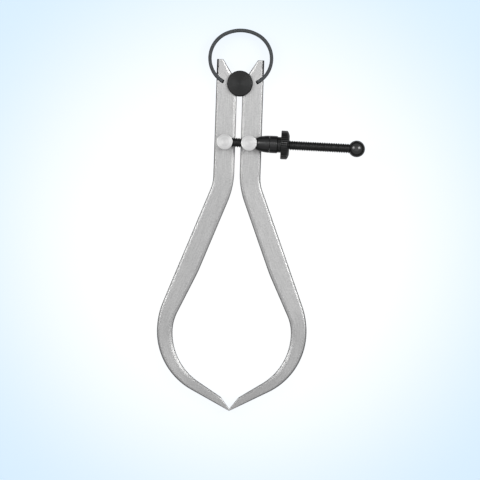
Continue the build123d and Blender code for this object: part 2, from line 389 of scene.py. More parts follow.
@dataclass(frozen=True)
class TurningAxis:
    """An axis that round pieces are turned about, in millimetres."""

    origin: tuple[float, float, float]
    direction: tuple[float, float, float]

    def frame(self) -> tuple[np.ndarray, np.ndarray, np.ndarray, np.ndarray]:
        """Origin, direction and the two directions square to it.

        Returns:
            The origin in millimetres, and three unit vectors: along the axis and square to it.
        """
        along = np.array(self.direction) / np.linalg.norm(self.direction)
        up = np.array([0.0, 0.0, 1.0]) if abs(along[2]) < 0.9 else np.array([0.0, 1.0, 0.0])
        first = np.cross(up, along)
        first /= np.linalg.norm(first)
        return np.array(self.origin), along, first, np.cross(along, first)

    def rings(self, distances: np.ndarray, radii: np.ndarray, angles: np.ndarray) -> np.ndarray:
        """Points at a distance along the axis, a radius and an angle about it.

        Args:
            distances: Distance of each ring, or of each point of each ring.
            radii: Radius of each ring, or of each point of each ring.
            angles: Angles of the points of a ring, in radians.

        Returns:
            The points, as rings by points by 3.
        """
        origin, along, first, second = self.frame()
        shape = (len(distances), len(angles))
        far = np.broadcast_to(distances.reshape(len(distances), -1), shape)[..., None]
        wide = np.broadcast_to(radii.reshape(len(radii), -1), shape)[..., None]
        spoke = np.cos(angles)[:, None] * first + np.sin(angles)[:, None] * second
        return origin + far * along + wide * spoke[None]

    def drill(self, start: float, end: float, radius: float) -> bpy.types.Object:
        """Solid that bores a round hole between two distances."""
        rings = self.rings(np.array([start, end]), np.full(2, radius), turn_angles(ROUND_POINTS))
        return mesh_from_rings("drill", rings, Ends.CAPPED)

    def turned(self, name: str, profile: RoundedPath, ends: Ends) -> bpy.types.Object:
        """Turn a profile of distance and radius about the axis.

        Args:
            name: Name of the piece.
            profile: Path of distance along the axis and radius.
            ends: Capped where the profile runs from face to face, looped where it comes back to its start.

        Returns:
            The piece.
        """
        along = profile.stations()
        points = profile.points(along)
        angles = turn_angles(ROUND_POINTS)
        grain = ring_grain(angles, along, points[:, 1].max())
        if ends is Ends.LOOPED:
            points = points[:-1]
        return mesh_from_rings(name, self.rings(points[:, 0], points[:, 1], angles), ends, grain)


def upright_axis(x: float = 0.0, y: float = 0.0) -> TurningAxis:
    """Axis square to the legs, through a place on them."""
    return TurningAxis((x, y, 0.0), (0.0, 0.0, 1.0))


def bored_profile(
    start: float, end: float, bore: float, outline: tuple[tuple[float, float, float], ...], corner: float
) -> RoundedPath:
    """Section of a turned piece with a hole through it, from the middle of its first face and round to it.

    Args:
        start: Distance of the first face along the axis.
        end: Distance of the last face.
        bore: Radius of the hole.
        outline: Corners of the outside, as distance, radius and round.
        corner: Round of the hole's two edges.

    Returns:
        The closed path.
    """
    middle = (start, (bore + outline[0][1]) / 2, 0)
    return RoundedPath((middle, *outline, (end, bore, corner), (start, bore, corner), middle))


@dataclass(frozen=True)
class Finish:
    """What every finish shares: its name, its two tones, and its roughness from the smooth to the rough."""

    name: str
    dark: str
    light: str
    smooth: float
    rough: float
    metallic: float = 1.0
    ior: float = 1.5  # a metal keeps this default
    across: float = 0.0  # how far the fine scratches spread the gloss across them
    scratches: float = 0.0  # which way they run: 0 along the section of the grain, 0.25 round the piece

    def surface(self, tree: bpy.types.NodeTree) -> ToneAndHeight:
        """Tone and height over the surface, which each finish works out."""
        raise NotImplementedError

    def material(self) -> bpy.types.Material:
        """Build the material.

        Returns:
            A material of one shader, with tone, roughness and relief from the finish's own surface.
        """
        made = bpy.data.materials.new(self.name)
        tree = empty_tree(made)
        tone, height = self.surface(tree)
        tones = {0: tone, 6: linear(self.dark), 7: linear(self.light)}
        gloss = {"Value": tone, "To Min": self.rough, "To Max": self.smooth}
        shader = {
            "Base Color": add_node(tree, "ShaderNodeMix", tones, 2, data_type="RGBA"),
            "Roughness": add_node(tree, "ShaderNodeMapRange", gloss),
            "Normal": add_node(tree, "ShaderNodeBump", {"Height": height, "Strength": 1.0, "Distance": MM}),
            "Metallic": self.metallic,
            "IOR": self.ior,
            "Anisotropic": self.across,
            "Anisotropic Rotation": self.scratches,
            "Tangent": add_node(tree, "ShaderNodeTangent", direction_type="UV_MAP", uv_map=GRAIN),
        }
        surface = add_node(tree, "ShaderNodeBsdfPrincipled", shader)
        add_node(tree, "ShaderNodeOutputMaterial", {"Surface": surface})
        return made


@dataclass(frozen=True)
class GroundSteel(Finish):
    """Steel ground lengthwise: fine streaks over soft clumps, darker and duller where an edge rolls to the
    side, partly the sheared side that the belt missed and partly painted shade for the dark edge lines.
    """

    streak: tuple[float, float] = (0.5, 7.0)  # width and length: coarser than a 120 grit belt leaves, to show
    streak_depth: float = 0.0015
    clump: float = 0.8
    upright: tuple[float, float] = (0.25, 0.8)  # upright share of the normal over which the tone climbs from the dark, painted-shade edge to the full ground face

    def surface(self, tree: bpy.types.NodeTree) -> ToneAndHeight:
        """Tone is half streaks and half clumps, times how far the surface faces up or down, which paints
        shade on the rolled edges.

        Args:
            tree: The material's node tree.

        Returns:
            The tone and the height.
        """
        grain = add_node(tree, "ShaderNodeUVMap", uv_map=GRAIN)
        place = add_node(tree, "ShaderNodeTexCoord", output="Object")
        normal = add_node(tree, "ShaderNodeTexCoord", output="Normal")
        wide, long = self.streak
        lines = add_node(tree, "ShaderNodeMapping", {0: grain, "Scale": (1 / wide, 1 / long, 1)})
        streaks = add_node(tree, "ShaderNodeTexNoise", {0: lines, "Scale": 1.0, "Detail": 3.0})
        spots = {0: place, "Scale": 1 / (self.clump * MM), "Detail": 3.0}
        clumps = add_node(tree, "ShaderNodeTexNoise", spots)
        upright = add_node(tree, "ShaderNodeSeparateXYZ", {0: normal}, "Z")
        level = add_node(tree, "ShaderNodeMath", {0: upright}, operation="ABSOLUTE")
        start, full = self.upright
        # painted shade: the tone falls as the surface turns away from upright, partly for the sheared side
        # that the belt missed
        ground = add_node(tree, "ShaderNodeMapRange", {"Value": level, "From Min": start, "From Max": full})
        both = add_node(tree, "ShaderNodeMath", {0: streaks, 1: clumps}, operation="ADD")
        mottle = add_node(tree, "ShaderNodeMath", {0: both, 1: 0.5}, operation="MULTIPLY")
        tone = add_node(tree, "ShaderNodeMath", {0: mottle, 1: ground}, operation="MULTIPLY")
        height = add_node(tree, "ShaderNodeMath", {0: streaks, 1: self.streak_depth}, operation="MULTIPLY")
        return tone, height


@dataclass(frozen=True)
class TurnedMetal(Finish):
    """Metal off the lathe: rings of irregular width run round it, broken up by soft clumps."""

    scratches: float = 0.25
    ring: float = 0.7  # the lathe's feed marks, drawn coarser than the real 0.1 to show
    ring_depth: float = 0.01
    ring_share: float = 0.6
    clump: float = 1.1

    def surface(self, tree: bpy.types.NodeTree) -> ToneAndHeight:
        """Rings by the distance along the turned section, mixed with clumps.

        Args:
            tree: The material's node tree.

        Returns:
            The tone and the height.
        """
        grain = add_node(tree, "ShaderNodeUVMap", uv_map=GRAIN)
        place = add_node(tree, "ShaderNodeTexCoord", output="Object")
        along = add_node(tree, "ShaderNodeSeparateXYZ", {0: grain}, "Y")
        bands = {"W": along, "Scale": 1 / self.ring, "Detail": 2.0}
        rings = add_node(tree, "ShaderNodeTexNoise", bands, noise_dimensions="1D")
        spots = {0: place, "Scale": 1 / (self.clump * MM), "Detail": 3.0}
        clumps = add_node(tree, "ShaderNodeTexNoise", spots)
        tone = add_node(tree, "ShaderNodeMix", {0: self.ring_share, 2: clumps, 3: rings})
        height = add_node(tree, "ShaderNodeMath", {0: rings, 1: self.ring_depth}, operation="MULTIPLY")
        return tone, height


@dataclass(frozen=True)
class BlackOxide(TurnedMetal):
    """Steel blackened in a hot bath: a thin dark skin, finely pitted, that keeps the tool marks under it."""

    pit: float = 0.16  # coarser than the real etching, which is too fine to show
    pit_depth: float = 0.006

    def surface(self, tree: bpy.types.NodeTree) -> ToneAndHeight:
        """The turned metal's tone and height, with pits on top.

        Args:
            tree: The material's node tree.

        Returns:
            The tone and the height.
        """
        tone, rings = super().surface(tree)
        place = add_node(tree, "ShaderNodeTexCoord", output="Object")
        pits = add_node(tree, "ShaderNodeTexNoise", {0: place, "Scale": 1 / (self.pit * MM), "Detail": 2.0})
        inputs = {0: pits, 1: self.pit_depth, 2: rings}
        return tone, add_node(tree, "ShaderNodeMath", inputs, operation="MULTIPLY_ADD")


@dataclass(frozen=True)
class ZincPlate(Finish):
    """Zinc plate on stamped steel: small spangles, each of its own grey, under a slight bloom."""

    spangle: float = 0.45  # coarser than the real crystals, which are too fine to show
    bloom: float = 1.6
    bloom_depth: float = 0.004

    def surface(self, tree: bpy.types.NodeTree) -> ToneAndHeight:
        """Flat cells of random tone, mixed evenly with a soft bloom.

        Args:
            tree: The material's node tree.

        Returns:
            The tone and the height.
        """
        place = add_node(tree, "ShaderNodeTexCoord", output="Object")
        cells = add_node(tree, "ShaderNodeTexVoronoi", {0: place, "Scale": 1 / (self.spangle * MM)}, "Color")
        soft = {0: place, "Scale": 1 / (self.bloom * MM), "Detail": 2.0}
        bloom = add_node(tree, "ShaderNodeTexNoise", soft)
        shade = add_node(tree, "ShaderNodeSeparateXYZ", {0: cells})
        tone = add_node(tree, "ShaderNodeMix", {0: 0.5, 2: shade, 3: bloom})
        return tone, add_node(tree, "ShaderNodeMath", {0: bloom, 1: self.bloom_depth}, operation="MULTIPLY")


@dataclass(frozen=True)
class BrokenEdge:
    """A long edge that grinding and tumbling have broken into two facets with soft changes between them."""

    facet_width: float = 0.55  # of the facet next to the face
    facet_lean: float = 11.0  # degrees that it leans off the face
    roll_width: float = 0.6  # of the facet that rolls over to the side
    roll_lean: float = 45.0
    softness: float = 0.6  # radius between the facets, and half of the one where they meet the face
    side_run: float = 0.2
    face_run: float = 0.4
    arc_step: float = 7.0  # degrees between the points of the rounds

    def width(self) -> float:
        """Width of both facets and the run on to the face."""
        return self.roll_width + self.facet_width + self.face_run

    def curve(self) -> np.ndarray:
        """Run up the edge from the side to the face.

        A facet of width w that leans by an angle a is w tan(a) deep.

        Returns:
            Points as the distance in from the side and the height over the face, which is negative.
        """
        facet = self.facet_width * slope(self.facet_lean)
        roll = self.roll_width * slope(self.roll_lean)
        path = RoundedPath((
            (0, -facet - roll - self.side_run, 0),
            (0, -facet - roll, self.side_run),
            (self.roll_width, -facet, self.softness),
            (self.roll_width + self.facet_width, 0, 2 * self.softness),
            (self.width(), 0, 0),
        ))
        return path.points(path.stations(self.arc_step))


@dataclass
class BowSpring:
    """The flat band that spreads the legs, bent to a crown arc and two flank arcs."""

    finish: bpy.types.Material
    painted_end_shade_finish: bpy.types.Material
    thickness: float = 1.6
    width: float = 5.0
    edge: float = 0.45
    centre_height: float = 8.55
    crown_radius: float = 16.7
    crown_half_angle: float = 27.0
    flank_radius: float = 12.9
    end_angle: float = 62.4  # 0.4 mm more than the solid, whose slot has play at its end
    slot_play: float = 0.1
    slot_end_play: float = 0.1
    cutter_length: float = 15.5
    end_round: float = 0.25
    end_drop: float = 0.7  # length over which the band's end falls away from the front and the back
    painted_shade_length: float = 0.9  # of the band's end, painted black: painted shade where the end sits in its leg's slot
    held_length: float = 5.4  # of the band's end that stays with its leg
    end_room: float = 1.2  # share of the end's drop that the even rings leave to the end's own rings
    cutter_rings: int = 40
    band_rings: int = 130
    end_rings: int = 9
    corner_points: int = 7  # on each of the section's four rounds

    def flank_centre(self, side: Side) -> tuple[float, float]:
        """Centre of a flank arc, on the crown's radius where the two arcs meet.

        Args:
            side: The half that the flank is on.

        Returns:
            Its place in the plan.
        """
        reach = self.crown_radius - self.flank_radius
        half = math.radians(self.crown_half_angle)
        return side.value * reach * math.sin(half), self.centre_height + reach * math.cos(half)

    def centre_line(self, side: Side, distances: np.ndarray) -> tuple[np.ndarray, np.ndarray]:
        """Points and outward directions along one half, from the crown down to the slot.

        The first part turns about the crown's centre and the rest about the flank's.

        Args:
            side: The half.
            distances: Distances from the crown.

        Returns:
            Points and unit directions away from the arc's centre.
        """
        crown = self.crown_radius * math.radians(self.crown_half_angle)
        on_crown = distances < crown
        turn = np.where(
            on_crown,
            distances / self.crown_radius,
            math.radians(self.crown_half_angle) + (distances - crown) / self.flank_radius,
        )
        out = np.stack([side.value * np.sin(turn), np.cos(turn)], axis=1)
        radius = np.where(on_crown, self.crown_radius, self.flank_radius)[:, None]
        centre = np.where(on_crown[:, None], (0.0, self.centre_height), self.flank_centre(side))
        return centre + radius * out, out

    def half_length(self) -> float:
        """Length of one half, from the crown to the band's end."""
        crown = self.crown_radius * math.radians(self.crown_half_angle)
        return crown + self.flank_radius * math.radians(90 - self.crown_half_angle + self.end_angle)

    def slot_cutter(self, side: Side, heights: np.ndarray) -> bpy.types.Object:
        """Make the solid that cuts a leg's slot: the band's arc with play on its faces and past its end.

        Args:
            side: The leg's side.
            heights: Heights of the cutter's back and front.

        Returns:
            The cutter.
        """
        length = self.half_length() + self.slot_end_play
        distances = np.linspace(length - self.cutter_length, length, self.cutter_rings)
        points, out = self.centre_line(side, distances)
        half = self.thickness / 2 + self.slot_play
        offsets = np.array([-half, half, half, -half])
        flat = points[:, None] + offsets[None, :, None] * out[:, None]
        z = np.broadcast_to(np.repeat(heights, 2), flat.shape[:2])
        return mesh_from_rings("slot", np.concatenate([flat, z[..., None]], axis=2), Ends.CAPPED)

    def half_mesh(self, side: Side, middle: float) -> bpy.types.Object:
        """Make one half of the band: a section with four round corners carried along the centre line.

        At the end the section's faces move in as on a quarter circle, by little across the band and by
        more from its front and back.

        Args:
            side: The half.
            middle: Height of the band's middle.

        Returns:
            The half, closed at both ends.
        """
        length = self.half_length()
        ends = length - self.end_drop * (1 - np.cos(np.linspace(np.pi / 2, 0, self.end_rings)))
        distances = np.append(np.linspace(0, length - self.end_room * self.end_drop, self.band_rings), ends)
        points, out = self.centre_line(side, distances)
        to_end = length - distances[:, None]
        near, low = (np.clip(size - to_end, 0, None) for size in (self.end_round, self.end_drop))
        inset_x = self.end_round - np.sqrt(self.end_round**2 - near**2)
        inset_z = self.end_drop - np.sqrt(self.end_drop**2 - low**2)
        quarter = np.linspace(0, np.pi / 2, self.corner_points)
        turn = (np.arange(4)[:, None] * np.pi / 2 + quarter).reshape(1, -1)
        corner = np.repeat(np.array([[1, 1], [-1, 1], [-1, -1], [1, -1]]), self.corner_points, axis=0)
        x = corner[None, :, 0] * (self.thickness / 2 - self.edge - inset_x) + self.edge * np.cos(turn)
        z = corner[None, :, 1] * (self.width / 2 - self.edge - inset_z) + self.edge * np.sin(turn)
        flat = points[:, None] + x[..., None] * out[:, None]
        rings = np.concatenate([flat, (z + middle)[..., None]], axis=2)
        # painted shade: the band's last part, where it sits in the slot, takes the black second finish
        painted_shade_faces = np.broadcast_to(to_end[:-1] < self.painted_shade_length, x[:-1].shape)
        grain = section_grain(x, z, distances)
        return mesh_from_rings(f"bow_spring_{side.name.lower()}", rings, Ends.CAPPED, grain, painted_shade_faces)

    def build(self) -> list[bpy.types.Object]:
        """Make both halves, bent in arcs from the crown down to the slots in the legs.

        Returns:
            The two halves.
        """
        middle = sum(heights("bow_spring")) / 2
        halves = []
        for side in Side:
            half = self.half_mesh(side, middle)
            half.data.materials.append(self.finish)
            half.data.materials.append(self.painted_end_shade_finish)
            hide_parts("bow_spring")
            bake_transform(half)
            halves.append(half)
        return halves


@dataclass
class CaliperLeg:
    """A bowed flat leg. Its sizes are those of the right leg, and the left leg mirrors it."""

    side: Side
    finish: bpy.types.Material
    painted_reflection_finish: bpy.types.Material
    stud: tuple[float, float]
    inner_edge: BrokenEdge = BrokenEdge(facet_width=1.0, facet_lean=12.0, roll_width=0.45)
    outer_edge: BrokenEdge = BrokenEdge()
    thickness: float = 4.0
    width: float = 9.9  # 0.2 less than the solid, whose edge chamfers are smaller
    gap: float = 2.6
    tang_height: float = 11.3
    tang_top: float = 2.95
    tang_angle: float = 32.6
    knee_drop: float = 47.5
    knee_radius: float = 30.0
    knee_outer_radius: float = 17.0
    limb_angle: float = 21.0
    taper_drop: float = 90.0
    taper_angle: float = 25.3
    taper_radius: float = 80.0
    belly_half_width: float = 35.5
    belly_width: float = 7.4
    belly_straight: float = 0.15
    shoulder_outer_radius: float = 36.4
    shoulder_inner_radius: float = 20.5
    arm_outer_angle: float = 62.6
    arm_inner_angle: float = 57.5
    nib_angle: float = 37.0
    nib_height: float = 5.5
    nib_heel_radius: float = 1.5
    tip_drop: float = 155.4
    tip_height: float = 0.9
    tip_gap: float = 0.1
    edge_share: float = 0.3  # most of the leg's width that one edge takes where the leg is narrow
    end_round: float = 0.15
    end_room: float = 1.3  # share of the end's round that the even rings leave to the end's own rings
    inset_share: float = 0.2  # most of the leg's width that the end's round takes from one side
    root_radius: float = 0.02
    painted_reflection_start: float = 3.4  # height over the fulcrum from which the tang's outer edge is painted black: a painted reflection and shade of the black bow band
    painted_reflection_width: float = 0.85
    seat_radius: float = 4.05
    shank_hole_radius: float = 2.45
    station_turn: float = 2.0  # most degrees between two rings in a bend
    station_step: float = 1.2  # most length between two rings on a straight side
    end_rings: int = 6
    face_points: int = 4  # across each face, between its edges
    pairing_points: int = 6000

    def outer_path(self) -> RoundedPath:
        """Outside of the leg, from the tang's top to the tip.

        Returns:
            The path, as on the right leg.
        """
        outer = self.gap / 2 + self.width
        tip = self.tip_gap / 2
        spread = (self.belly_half_width - outer) / slope(self.limb_angle)
        shoulder = -self.knee_drop - spread
        heel = (self.belly_half_width - tip) / slope(self.arm_outer_angle) - self.tip_drop
        upper = fillet_reach(self.shoulder_outer_radius, self.limb_angle)
        room = shoulder - heel - upper - self.belly_straight
        lower = room / fillet_reach(1, self.arm_outer_angle)
        return RoundedPath((
            (outer, self.tang_height, 0),
            (outer, -self.knee_drop, self.knee_outer_radius),
            (self.belly_half_width, shoulder, self.shoulder_outer_radius),
            (self.belly_half_width, heel, lower),
            (tip, -self.tip_drop, 0),
        ))

    def inner_path(self) -> RoundedPath:
        """Inside of the leg, from the tang's top to the tip.

        Returns:
            The path, as on the right leg.
        """
        inner = self.gap / 2
        tip = self.tip_gap / 2
        belly = self.belly_half_width - self.belly_width
        nib = self.tip_height - self.tip_drop
        heel_x = tip + self.nib_height * slope(self.nib_angle)
        heel = nib + self.nib_height + (belly - heel_x) / slope(self.arm_inner_angle)
        knee = -self.knee_drop - fillet_reach(self.width, self.limb_angle)
        taper_x = inner + (knee + self.taper_drop) * slope(self.limb_angle)
        shoulder = -self.taper_drop - (belly - taper_x) / slope(self.taper_angle)
        upper = fillet_reach(self.shoulder_inner_radius, self.taper_angle)
        room = shoulder - heel - upper - self.belly_straight
        tang_x = inner + self.width - self.tang_top
        root = self.tang_height - (tang_x - inner) / slope(self.tang_angle)
        return RoundedPath((
            (tang_x, self.tang_height, 0),
            (inner, root, self.root_radius),
            (inner, knee, self.knee_radius + self.width),
            (taper_x, -self.taper_drop, self.taper_radius),
            (belly, shoulder, self.shoulder_inner_radius),
            (belly, heel, room / fillet_reach(1, self.arm_inner_angle)),
            (heel_x, nib + self.nib_height, self.nib_heel_radius),
            (tip, nib, 0),
        ))

    def pair_edges(self) -> tuple[np.ndarray, np.ndarray, np.ndarray]:
        """Pair points on the inside with the nearest ones on the outside, all the way down the leg.

        Past the nib's heel the outer points run ahead, so that the last pair lies on the tip's flat.

        Returns:
            Inner points, outer points and the distance of each pair down the inside.
        """
        inner_path, outer_path = self.inner_path(), self.outer_path()
        ends = self.end_round * (1 - np.cos(np.linspace(0, np.pi / 2, self.end_rings)))
        length = inner_path.length()
        inside = inner_path.stations(self.station_turn, self.station_step)
        clear = self.end_room * self.end_round
        inside = inside[(inside > clear) & (inside < length - clear)]
        inside = np.concatenate([ends, inside, length - ends[::-1]])
        inner = inner_path.points(inside)
        fine = np.linspace(0, outer_path.length(), self.pairing_points)
        gaps = np.hypot(*(inner[:, None] - outer_path.points(fine)[None]).transpose(2, 0, 1))
        outside = np.maximum.accumulate(fine[gaps.argmin(1)])
        nib = 2 * self.nib_height
        ahead = np.clip((inside - (length - nib)) / nib, 0, 1) ** 2
        outside = outside + ahead * (fine[-1] - outside[-1])
        return inner, outer_path.points(outside), inside

    def rings(self, back: float) -> tuple[np.ndarray, np.ndarray, np.ndarray]:
        """Sections of the leg: a rectangle with a broken edge at each corner.

        Near both ends, every side of the section moves in as on a quarter circle. Where the leg is narrow,
        its edges shrink with its width.

        Args:
            back: Height of the back face.

        Returns:
            The rings, the place of each point in the grain, and the faces of the tang's outer edge that take
            the painted reflection and shade of the black band.
        """
        inner, outer, inside = self.pair_edges()
        from_end = np.minimum(inside, inside[-1] - inside)
        into_end = np.clip(self.end_round - from_end, 0, None)
        inset = self.end_round - np.sqrt(self.end_round**2 - into_end**2)
        full = np.hypot(*(outer - inner).T)
        inset = np.minimum(inset, self.inset_share * full)[:, None]
        across = ((outer - inner) / full[:, None])[:, None]
        wide = full[:, None] - 2 * inset
        high = self.thickness - 2 * inset
        first, last = self.inner_edge.curve(), self.outer_edge.curve()
        broad = max(self.inner_edge.width(), self.outer_edge.width())
        scale = np.minimum(1, self.edge_share * wide / broad)
        start, end = scale * first[-1, 0], wide - scale * last[-1, 0]
        face = start + (end - start) * np.linspace(0, 1, self.face_points + 2)[None, 1:-1]
        x = np.hstack([
            scale * first[:, 0], face, wide - scale * last[::-1, 0],
            wide - scale * last[:, 0], face[:, ::-1], scale * first[::-1, 0],
        ])
        z = np.hstack([
            high + scale * first[:, 1], high + 0 * face, high + scale * last[::-1, 1],
            -scale * last[:, 1], 0 * face, -scale * first[::-1, 1],
        ])
        flat = inner[:, None] + across * (x + inset)[..., None]
        flat[..., 0] *= self.side.value
        rings = np.concatenate([flat, (z + inset + back)[..., None]], axis=2)
        # painted reflection and shade: the tang's outer edge above the band takes the black second finish,
        # for the dark band that the edge mirrors
        high_up = (outer[:-1, 1] > self.painted_reflection_start)[:, None]
        painted_reflection_faces = high_up & (x[:-1] > wide[:-1] - self.painted_reflection_width)
        return rings, section_grain(x, z, inside), painted_reflection_faces

    def build(self, spring: BowSpring) -> bpy.types.Object:
        """Make the leg with its seat, its stud hole and its slot, and put it on its body.

        Args:
            spring: The spring whose end the slot takes.

        Returns:
            The leg.
        """
        name = f"{self.side.name.lower()}_leg"
        back, front = heights(name)
        rings, grain, painted_reflection_faces = self.rings(back)
        leg = mesh_from_rings(f"{name}_ground", rings, Ends.CAPPED, grain, painted_reflection_faces)
        leg.data.materials.append(self.finish)
        leg.data.materials.append(self.painted_reflection_finish)
        below, above = back - 1, front + 1
        seat = upright_axis().drill(below, above, self.seat_radius)
        hole = upright_axis(*self.stud).drill(below, above, self.shank_hole_radius)
        cut_away(leg, [seat, hole, spring.slot_cutter(self.side, np.array([below, above]))])
        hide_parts(name)
        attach(leg, name)
        return leg


@dataclass
class FulcrumSpool:
    """The turned spool that both legs ride on: a core between two flanges."""

    finish: bpy.types.Material
    core_radius: float = 4.0
    flange_thickness: float = 1.5
    rim: float = 0.45
    corner: float = 0.08
    pip_radius: float = 0.3  # left at the centre when the piece is parted off

    def build(self) -> bpy.types.Object:
        """Turn the spool and put it on its body.

        Returns:
            The spool.
        """
        base, top = heights("fulcrum_spool")
        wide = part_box("fulcrum_spool")[1].x / MM
        flange = (
            (0, self.pip_radius, 0),
            (0, wide - self.rim, self.corner),
            (self.rim, wide, self.corner),
            (self.flange_thickness, wide, self.corner),
            (self.flange_thickness, self.core_radius, self.corner),
        )
        lower = [(base + height, radius, bend) for height, radius, bend in flange]
        upper = [(top - height, radius, bend) for height, radius, bend in reversed(flange)]
        profile = RoundedPath((*lower, *upper))
        spool = upright_axis().turned("fulcrum_spool_blackened", profile, Ends.CAPPED)
        spool.data.materials.append(self.finish)
        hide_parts("fulcrum_spool")
        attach(spool, "fulcrum")
        return spool


@dataclass
class ScrewSet:
    """The adjusting screw, its ball, the collar and the nut, on one axis from the left stud."""

    axis: TurningAxis
    stud_spacing: float
    oxide: bpy.types.Material
    polished_oxide: bpy.types.Material
    screw_radius: float = 2.25
    screw_tail: float = 2.1
    pitch: float = 1.1  # the real one is 0.8, drawn a little coarser so that the thread shows
    thread_depth: float = 0.36
    flank_steepness: float = 0.75  # over 0.5 flattens the thread's crests and roots
    ball_distance: float = 62.6
    ball_radius: float = 3.95
    bore_radius: float = 2.3
    fixed_bore_radius: float = 2.27
    hole_end_play: float = 0.3
    post_radius: float = 3.7
    spot_face_depth: float = 0.35
    play: float = 0.05
    collar_length: float = 6.3
    collar_radius: float = 4.05
    nose_radius: float = 2.8
    nose_length: float = 1.4
    shoulder_radius: float = 3.45
    shoulder_round: float = 2.5
    taper_length: float = 3.5
    taper_round: float = 8.0
    barrel_length: float = 3.9
    barrel_radius: float = 4.1
    barrel_round: float = 0.3
    neck_length: float = 1.5
    neck_radius: float = 3.7
    neck_slope: float = 0.25
    flange_length: float = 2.9
    flange_radius: float = 6.8
    flange_round: float = 0.25
    dome_length: float = 1.1
    dome_radius: float = 4.6
    dome_middle: tuple[float, float, float] = (0.55, 6.0, 1.8)  # share of the length, radius and round
    dome_round: float = 0.3
    knurl_count: int = 42
    knurl_depth: float = 0.3
    knurl_half_width: float = 0.19
    knurl_run_out: float = 0.3  # width over which the grooves fade towards the axis
    corner: float = 0.1
    thread_rings: int = 8  # points along each pitch
    thread_points: int = 48  # points round each turn
    ball_rings: int = 48
    ball_pole: float = 0.05  # radians that the ball's last ring stands off its pole

    def settle(
        self, piece: bpy.types.Object, node: str, body: str, finish: bpy.types.Material
    ) -> bpy.types.Object:
        """Dress a piece, let it stand for its node and put it on its body.

        Args:
            piece: The piece.
            node: The node of the solid model.
            body: The body it rides on.
            finish: Its material.

        Returns:
            The piece.
        """
        piece.data.materials.append(finish)
        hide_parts(node)
        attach(piece, body)
        return piece

    def build_screw(self) -> bpy.types.Object:
        """Cut the thread: a profile of crest, flank and root carried along a helix.

        A point at turn t and place p in the pitch lies pitch (k + p + t/2pi) along the axis. Its radius goes
        from root to crest as a wave with flattened tops, and both ends are cut square.

        Returns:
            The screw.
        """
        per_pitch, around = self.thread_rings, self.thread_points
        start, end = -self.screw_tail, self.ball_distance
        pitches = int((end - start) / self.pitch) + 4
        row = np.arange(pitches * per_pitch)[:, None] / per_pitch
        angles = turn_angles(around)
        turn = angles[None] / (2 * np.pi)
        distance = start - 2 * self.pitch + self.pitch * (row + turn)
        wave = np.clip(0.5 + self.flank_steepness * np.cos(2 * np.pi * row) + 0 * turn, 0, 1)
        radius = self.screw_radius - self.thread_depth * (1 - wave)
        points = self.axis.rings(distance, radius, angles).reshape(-1, 3)
        index = np.arange(len(points)).reshape(-1, around)
        index = np.hstack([index[:-per_pitch], index[per_pitch:, :1]])
        grain = ring_grain(angles, row[:-per_pitch, 0] * self.pitch, self.screw_radius)
        screw = mesh_from_grid("adjusting_screw_threaded", points, index, grain)
        origin, along, _, _ = self.axis.frame()
        work = bmesh.new()
        work.from_mesh(screw.data)
        for place, way in ((start, -1), (end, 1)):
            plane = {"plane_co": (origin + place * along) * MM, "plane_no": way * along, "clear_outer": True}
            everything = list(work.verts) + list(work.edges) + list(work.faces)
            cut = bmesh.ops.bisect_plane(work, geom=everything, **plane)
            rim = [edge for edge in cut["geom_cut"] if isinstance(edge, bmesh.types.BMEdge)]
            bmesh.ops.edgeloop_fill(work, edges=rim)
        work.to_mesh(screw.data)
        work.free()
        finish_mesh(screw)
        return self.settle(screw, "adjusting_screw", "screw_and_stud", self.oxide)

    def build_ball(self) -> bpy.types.Object:
        """Turn the ball, with the blind hole that the screw's end sits in.

        A point of the ball at an angle a from the screw's side lies R cos(a) before the centre, at the
        radius R sin(a).

        Returns:
            The ball.
        """
        floor = self.ball_distance + self.hole_end_play
        mouth = math.asin(self.fixed_bore_radius / self.ball_radius)
        turns = np.linspace(mouth, math.pi - self.ball_pole, self.ball_rings)
        distance = np.append([floor, floor], self.ball_distance - self.ball_radius * np.cos(turns))
        radius = np.append([self.corner, self.fixed_bore_radius], self.ball_radius * np.sin(turns))
        angles = turn_angles(ROUND_POINTS)
        grain = ring_grain(angles, np.append([0, 0], self.ball_radius * turns), self.ball_radius)
        rings = self.axis.rings(distance, radius, angles)
        ball = mesh_from_rings("stop_ball_polished", rings, Ends.CAPPED, grain)
        return self.settle(ball, "stop_ball", "screw_and_stud", self.polished_oxide)

    def collar_start(self) -> float:
        """Distance of the collar's nose from the left stud's axis."""
        return self.stud_spacing + self.post_radius - self.spot_face_depth + self.play

    def build_collar(self) -> bpy.types.Object:
        """Turn the collar, which swells from its nose to its full radius.

        Returns:
            The collar.
        """
        start = self.collar_start()
        end = start + self.collar_length
        shoulder = start + self.nose_length
        outline = (
            (start, self.nose_radius, self.corner),
            (shoulder, self.shoulder_radius, self.shoulder_round),
            (shoulder + self.taper_length, self.collar_radius, self.taper_round),
            (end, self.collar_radius, self.corner),
        )
        profile = bored_profile(start, end, self.bore_radius, outline, self.corner / 2)
        collar = self.axis.turned("thrust_collar_blackened", profile, Ends.LOOPED)
        return self.settle(collar, "thrust_collar", "collar_and_stud", self.oxide)

    def nut_profile(self) -> RoundedPath:
        """Section of the nut: barrel, neck, flange and dome, and back through the bore.

        Returns:
            The closed path.
        """
        start = self.collar_start() + self.collar_length + self.play
        barrel_end = start + self.barrel_length
        flange = barrel_end + self.neck_length
        rim_end = flange + self.flange_length
        end = rim_end + self.dome_length
        dome_share, dome_middle, dome_bend = self.dome_middle
        outline = (
            (start, self.barrel_radius, self.barrel_round),
            (barrel_end - self.neck_slope, self.barrel_radius, self.barrel_round),
            (barrel_end, self.neck_radius, self.corner),
            (flange, self.neck_radius, self.flange_round),
            (flange, self.flange_radius, self.flange_round),
            (rim_end, self.flange_radius, self.flange_round),
            (rim_end + dome_share * self.dome_length, dome_middle, dome_bend),
            (end, self.dome_radius, self.dome_round),
        )
        return bored_profile(start, end, self.bore_radius, outline, self.corner / 2)

